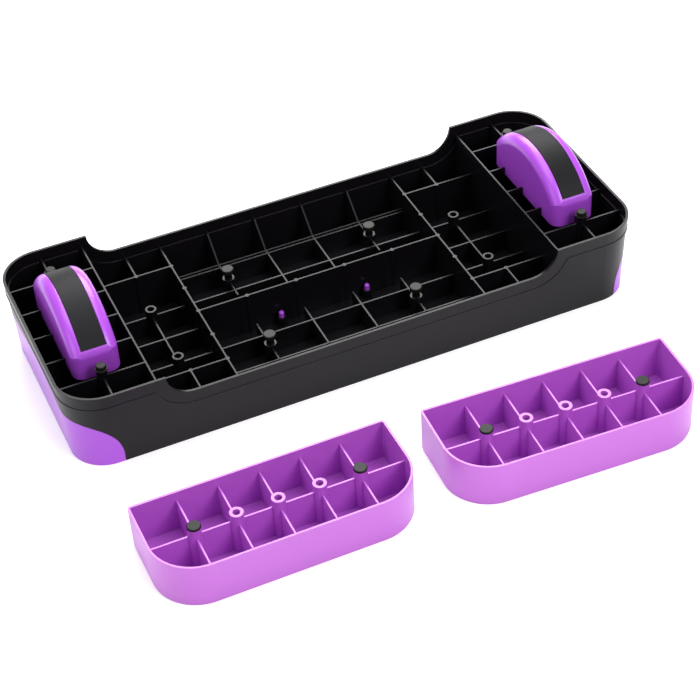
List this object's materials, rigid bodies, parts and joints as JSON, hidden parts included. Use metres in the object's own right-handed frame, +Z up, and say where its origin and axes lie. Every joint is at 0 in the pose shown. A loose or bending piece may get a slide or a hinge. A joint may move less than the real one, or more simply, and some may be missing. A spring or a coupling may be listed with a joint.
{
  "type": "slant board",
  "caption": "Long ribbed step deck turned tread down, with arched rockers plugged into its end bays and D-shaped hollow riser trays beside it.",
  "frame": {"origin": "centre of the deck's tread face, which lies on the floor", "axes": "+X along the deck to the right, +Y away from the two risers, +Z up, out of the deck's open side"},
  "size_m": [0.68, 0.5145, 0.1441],
  "materials": {
    "deck_plastic": "moulded, fine satin grain",
    "purple_plastic": "moulded, semi-gloss",
    "riser_plastic": "moulded, semi-gloss",
    "foot_rubber": "matte",
    "grip_rubber": "matte",
    "mat_rubber": "matte"
  },
  "bodies": {
    "deck": {"deck_shell": "deck_plastic", "centre_rib": "deck_plastic", "cross_rib_left": "deck_plastic", "cross_rib_right": "deck_plastic", "low_ribs_front": "deck_plastic", "low_ribs_back": "deck_plastic", "bay_ribs_left": "deck_plastic", "bay_ribs_right": "deck_plastic", "end_ribs_left": "deck_plastic", "end_ribs_right": "deck_plastic", "side_ribs_front_left": "deck_plastic", "side_ribs_front_right": "deck_plastic", "side_ribs_back_left": "deck_plastic", "side_ribs_back_right": "deck_plastic", "tread_mat": "mat_rubber", "centre_badge": "purple_plastic", "end_panel_left": "purple_plastic", "end_panel_right": "purple_plastic", "foot_front_left": "foot_rubber", "foot_front_right": "foot_rubber", "foot_back_left": "foot_rubber", "foot_back_right": "foot_rubber", "pad_front_left": "foot_rubber", "pad_front_right": "foot_rubber", "pad_back_left": "foot_rubber", "pad_back_right": "foot_rubber"},
    "rocker_left": {"rocker_left": "purple_plastic", "rocker_grip_left": "grip_rubber"},
    "rocker_right": {"rocker_right": "purple_plastic", "rocker_grip_right": "grip_rubber"},
    "riser_left": {"riser_left": "riser_plastic", "riser_left_ribs": "riser_plastic", "riser_left_posts": "riser_plastic", "riser_left_foot_a": "foot_rubber", "riser_left_foot_b": "foot_rubber"},
    "riser_right": {"riser_right": "riser_plastic", "riser_right_ribs": "riser_plastic", "riser_right_posts": "riser_plastic", "riser_right_foot_a": "foot_rubber", "riser_right_foot_b": "foot_rubber"}
  },
  "joints": [
    {"name": "rocker_left_pull_off", "type": "slide", "parent": "deck", "child": "rocker_left", "axis": [0, 0, 1], "range_m": [0, 0.06]},
    {"name": "rocker_right_pull_off", "type": "slide", "parent": "deck", "child": "rocker_right", "axis": [0, 0, 1], "range_m": [0, 0.06]},
    {"name": "riser_left_lift", "type": "slide", "parent": "deck", "child": "riser_left", "axis": [0, 0, 1], "range_m": [0, 0.08]},
    {"name": "riser_right_lift", "type": "slide", "parent": "deck", "child": "riser_right", "axis": [0, 0, 1], "range_m": [0, 0.08]}
  ]
}
